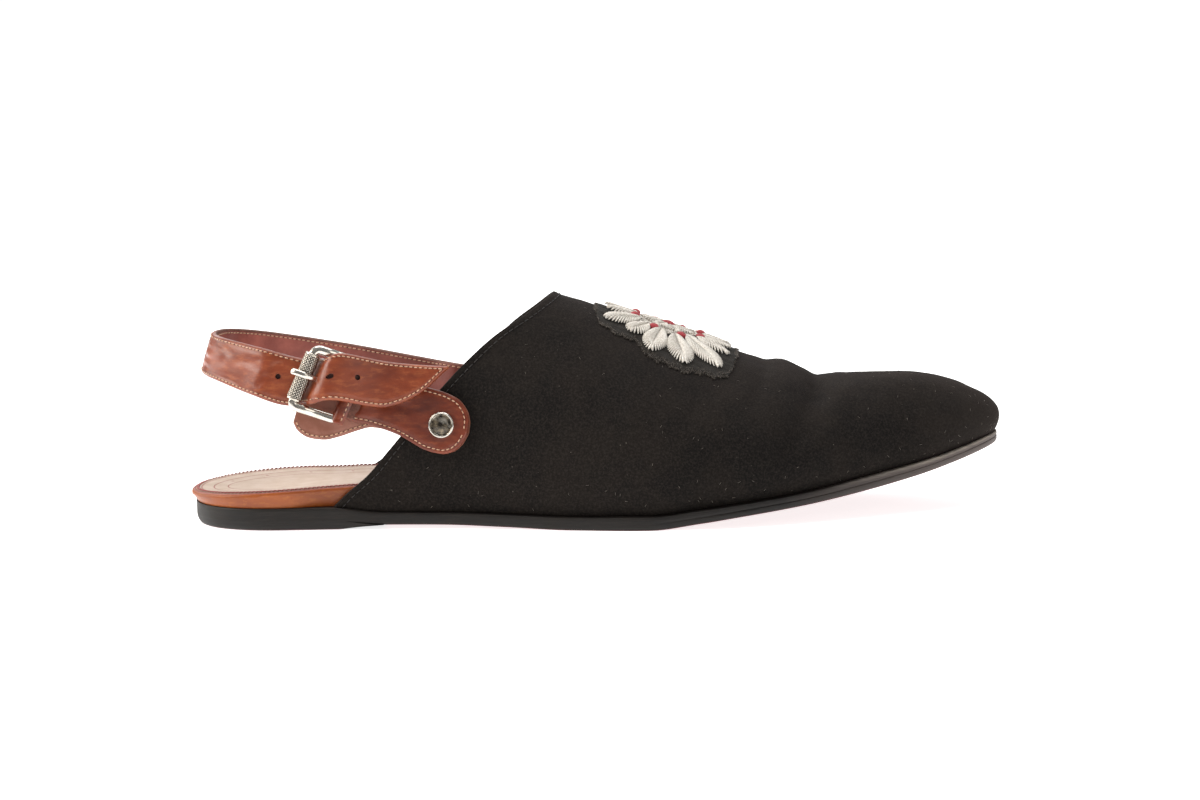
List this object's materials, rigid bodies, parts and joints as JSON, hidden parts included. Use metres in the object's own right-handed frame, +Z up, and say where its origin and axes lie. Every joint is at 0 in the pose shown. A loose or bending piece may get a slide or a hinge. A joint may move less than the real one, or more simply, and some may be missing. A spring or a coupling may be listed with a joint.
{
  "type": "slingback mule",
  "caption": "Right pointed-toe flat slingback mule: closed suede vamp, open heel, leather heel strap fastened by a roller buckle on a riveted tab.",
  "frame": {"origin": "on the floor under the middle of the heel, in the lift's flat underside", "axes": "+X from heel to toe, +Y to the inner side of the right foot, +Z up"},
  "size_m": [0.3014, 0.0989, 0.0817],
  "materials": {
    "black_sole_leather": "semi-matt edge dressing over black-brown sole leather",
    "tan_leather": "smooth tan leather wrapped over the footbed's edge",
    "black_brown_suede": "matt suede nap, very dark brown",
    "cognac_leather": "smooth waxed cognac leather with edge stitching",
    "polished_nickel": "polished nickel plate"
  },
  "bodies": {
    "root": {"outsole": "black_sole_leather", "heel_lift": "black_sole_leather", "insole": "tan_leather", "upper": "black_brown_suede", "heel_strap": "cognac_leather", "tab_backing": "cognac_leather", "tab_chape": "cognac_leather", "buckle_frame": "polished_nickel", "buckle_roller": "polished_nickel", "buckle_prong": "polished_nickel", "outer_rivet": "polished_nickel", "inner_rivet": "polished_nickel"}
  },
  "joints": []
}
